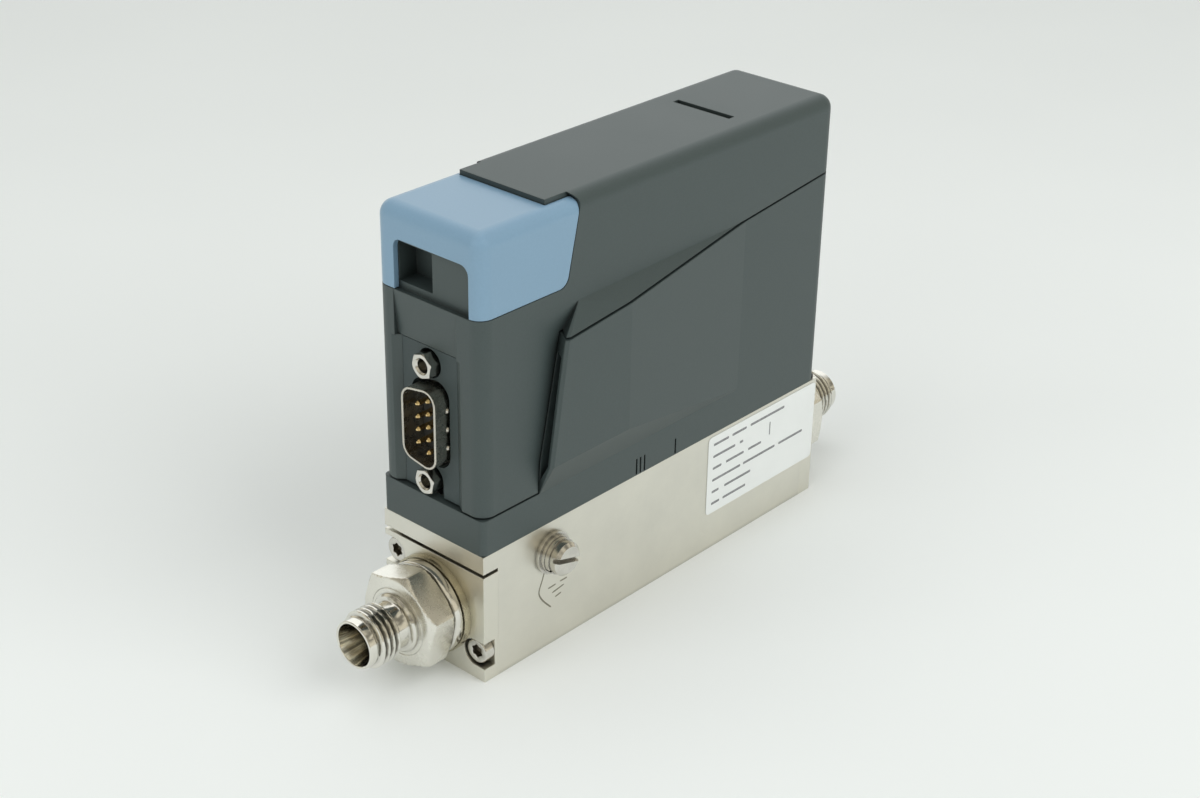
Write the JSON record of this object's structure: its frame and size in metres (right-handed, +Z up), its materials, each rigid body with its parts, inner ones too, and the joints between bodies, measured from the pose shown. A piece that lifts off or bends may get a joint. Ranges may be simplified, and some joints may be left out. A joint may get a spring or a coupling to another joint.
{
  "type": "mass flow controller",
  "caption": "Mass flow controller for gas: steel block with end fittings, earth screw, slim two-part plastic housing with a light cap, and a D-shaped signal connector in its front.",
  "frame": {"origin": "middle of the block's bottom face", "axes": "+X from the inlet to the outlet along the flow axis, +Z up from the mounting face, -Y towards the side with the earth screw and the label"},
  "size_m": [0.1502, 0.0365, 0.0965],
  "materials": {
    "steel_block": "fine vertical brush marks, satin",
    "steel_turned": "turned and polished, bright",
    "steel_small": "bright machined",
    "ring_brass": "dull",
    "seal_rubber": "matt",
    "sensor_metal": "satin",
    "cover_aluminium": "satin",
    "yoke_iron": "plain",
    "copper_wire": "enamelled",
    "housing_plastic": "fine moulded grain",
    "cap_plastic": "fine moulded grain",
    "shell_steel": "tin plated",
    "black_plastic": "plain",
    "gold_contact": "polished",
    "board_green": "lacquered",
    "capacitor_sleeve": "shiny",
    "header_plastic": "plain",
    "cable_plastic": "plain",
    "label_paper": "smooth"
  },
  "bodies": {
    "controller": {"base_block": "steel_block", "inlet_flange": "steel_block", "outlet_flange": "steel_block", "flange_screws": "steel_small", "flange_seals": "seal_rubber", "inlet_fitting": "steel_turned", "outlet_fitting": "steel_turned", "fitting_rings": "ring_brass", "inlet_filter": "sensor_metal", "filter_retainer": "steel_small", "flow_element": "sensor_metal", "sensor_base": "sensor_metal", "sensor_seals": "seal_rubber", "sensor_tube": "sensor_metal", "sensor_windings": "copper_wire", "sensor_cover": "cover_aluminium", "sensor_screws": "steel_small", "valve_seat": "ring_brass", "valve_spring": "sensor_metal", "guide_tube": "sensor_metal", "guide_seal": "seal_rubber", "guide_retainer": "steel_small", "coil_bobbin": "black_plastic", "coil_winding": "copper_wire", "coil_yoke": "yoke_iron", "coil_nut": "steel_small", "earth_screw": "steel_small", "earth_lock_washer": "steel_small", "earth_washer": "steel_small", "housing_base": "housing_plastic", "housing_gasket": "seal_rubber", "housing_screws": "steel_small", "housing_cover": "housing_plastic", "cover_screws": "steel_small", "front_cap": "cap_plastic", "connector_plate": "housing_plastic", "connector_bracket": "cover_aluminium", "bracket_screws": "steel_small", "connector_shell": "shell_steel", "connector_insulator": "black_plastic", "connector_pins": "gold_contact", "jackscrews": "steel_small", "jack_nuts": "steel_small", "connector_board": "board_green", "main_board": "board_green", "board_spacers": "ring_brass", "board_screws": "steel_small", "circuit_packages": "black_plastic", "capacitors": "capacitor_sleeve", "plug_headers": "header_plastic", "flat_cable": "cable_plastic", "side_label": "label_paper"},
    "armature": {"valve_plunger": "sensor_metal", "valve_pad": "seal_rubber"}
  },
  "joints": [
    {"name": "valve_lift", "type": "slide", "parent": "controller", "child": "armature", "axis": [0, 0, 1], "range_m": [0, 0.0003], "stiffness_N_per_m": 400, "springref_m": -0.004, "deforming": ["valve_spring"]}
  ]
}
